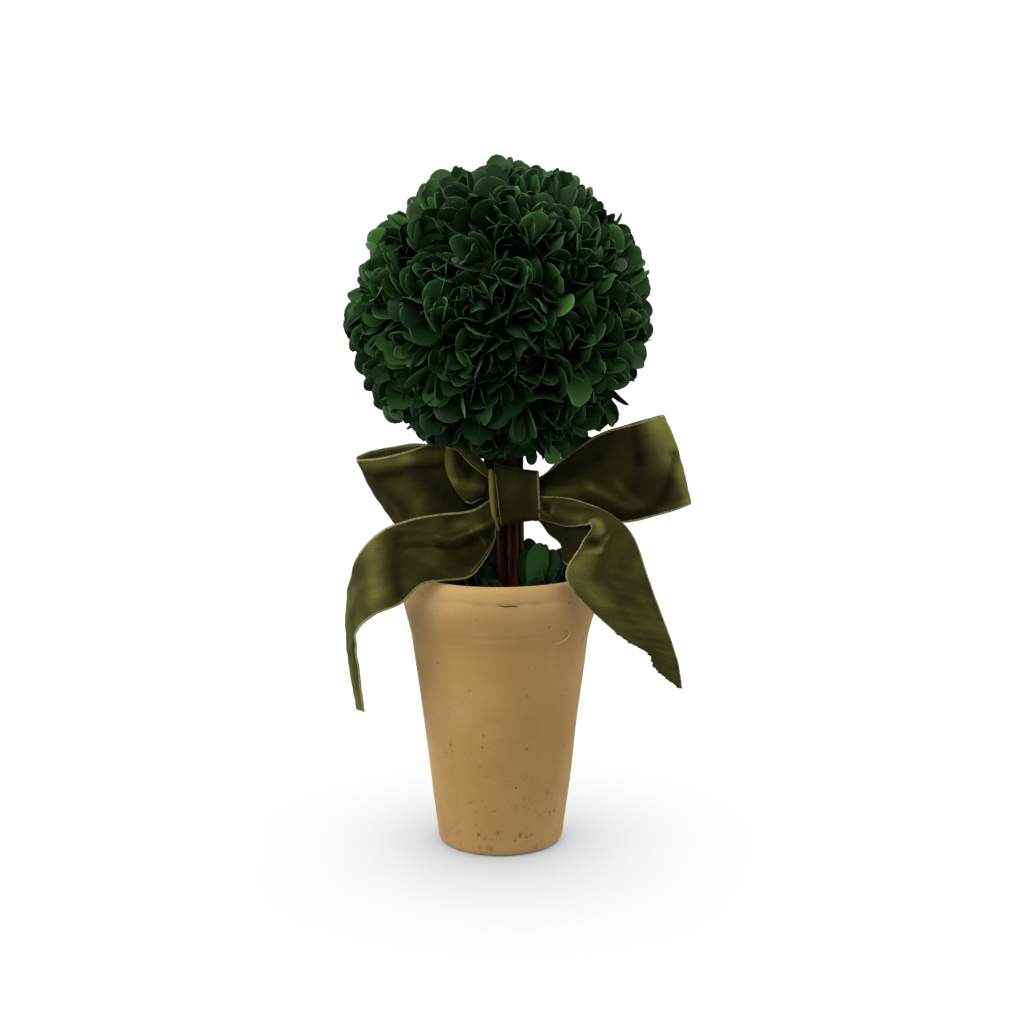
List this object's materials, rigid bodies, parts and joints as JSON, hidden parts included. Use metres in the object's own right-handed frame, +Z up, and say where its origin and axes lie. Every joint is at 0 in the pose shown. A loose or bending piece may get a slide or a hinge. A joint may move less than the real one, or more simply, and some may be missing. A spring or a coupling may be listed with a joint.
{
  "type": "potted preserved boxwood topiary",
  "caption": "Ball of preserved boxwood leaves on a bundle of thin sticks, standing in a tapered clay pot, with a wide velvet ribbon bow tied round the sticks under the ball",
  "frame": {"origin": "middle of the pot's flat underside", "axes": "+Z up along the sticks, -Y towards the front of the bow, +X to the right of the front view"},
  "size_m": [0.181, 0.1562, 0.3576],
  "materials": {
    "clay": "matte",
    "fill": "matte",
    "bark": "matte",
    "leaves": "matte",
    "velvet": "matte"
  },
  "bodies": {
    "root": {"pot": "clay", "pot_fill": "fill", "stem_1": "bark", "stem_2": "bark", "stem_3": "bark", "stem_4": "bark", "foliage_ball": "leaves", "base_tuft_1": "leaves", "base_tuft_2": "leaves", "base_tuft_3": "leaves", "base_tuft_4": "leaves", "base_tuft_5": "leaves", "bow_knot": "velvet", "bow_ring": "velvet", "bow_loop_left": "velvet", "bow_loop_right": "velvet", "bow_pleat_left": "velvet", "bow_tail_left": "velvet", "bow_tail_right": "velvet"}
  },
  "joints": []
}
